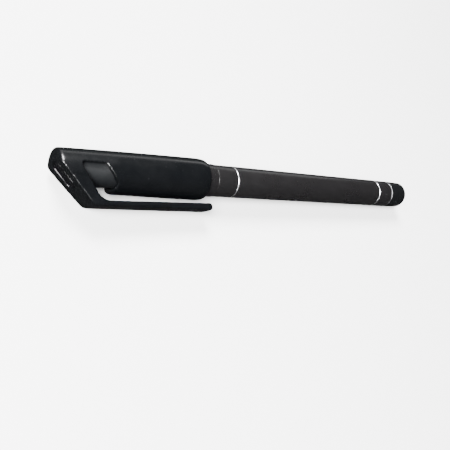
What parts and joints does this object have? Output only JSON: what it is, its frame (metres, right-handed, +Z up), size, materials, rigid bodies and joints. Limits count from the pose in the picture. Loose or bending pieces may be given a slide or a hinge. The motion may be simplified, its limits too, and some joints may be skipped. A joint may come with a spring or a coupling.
{
  "type": "counterfeit detector pen",
  "caption": "Capped banknote-testing pen: slim round barrel, flared cap with slanted end face, side window and pocket clip, silver trim rings, fibre nib under the cap.",
  "frame": {"origin": "centre of the bounding box, on the surface the pen lies on", "axes": "+X from the cap towards the tail, +Z up from the surface, -Y on the pocket clip's side"},
  "size_m": [0.1406, 0.0164, 0.0125],
  "materials": {
    "cap_plastic": "black moulded plastic, semi-gloss",
    "barrel_plastic": "black moulded plastic, satin",
    "lining_plastic": "dark grey moulded plastic, satin",
    "inlay_plastic": "black plastic, high gloss",
    "silver_trim": "bright silver plating",
    "nib_fibre": "pressed fibre soaked with amber ink",
    "reservoir_fibre": "bonded fibre soaked with amber ink",
    "clear_film": "thin clear plastic film"
  },
  "bodies": {
    "pen_body": {"cap_stop_ring": "barrel_plastic", "front_section": "barrel_plastic", "nib_holder": "lining_plastic", "fibre_nib": "nib_fibre", "front_trim_ring": "silver_trim", "barrel_tube": "barrel_plastic", "ink_reservoir": "reservoir_fibre", "reservoir_film": "clear_film", "rear_trim_ring": "silver_trim", "tail_sleeve": "barrel_plastic", "tail_trim_ring": "silver_trim", "tail_plug": "barrel_plastic"},
    "cap": {"cap_shell": "cap_plastic", "cap_inner_sleeve": "lining_plastic", "crown_inlay": "inlay_plastic"},
    "clip": {"pocket_clip": "cap_plastic"}
  },
  "joints": [
    {"name": "cap_pull", "type": "slide", "parent": "pen_body", "child": "cap", "axis": [-0.9999, 0, 0.0148], "range_m": [0, 0.045]},
    {"name": "clip_flex", "type": "hinge", "parent": "cap", "child": "clip", "pos_m": [-0.06253, -0.00557, 0.00469], "axis": [-0.0142, 0.2664, -0.9638], "range_deg": [0, 5], "stiffness_Nm_per_rad": 0.55}
  ]
}
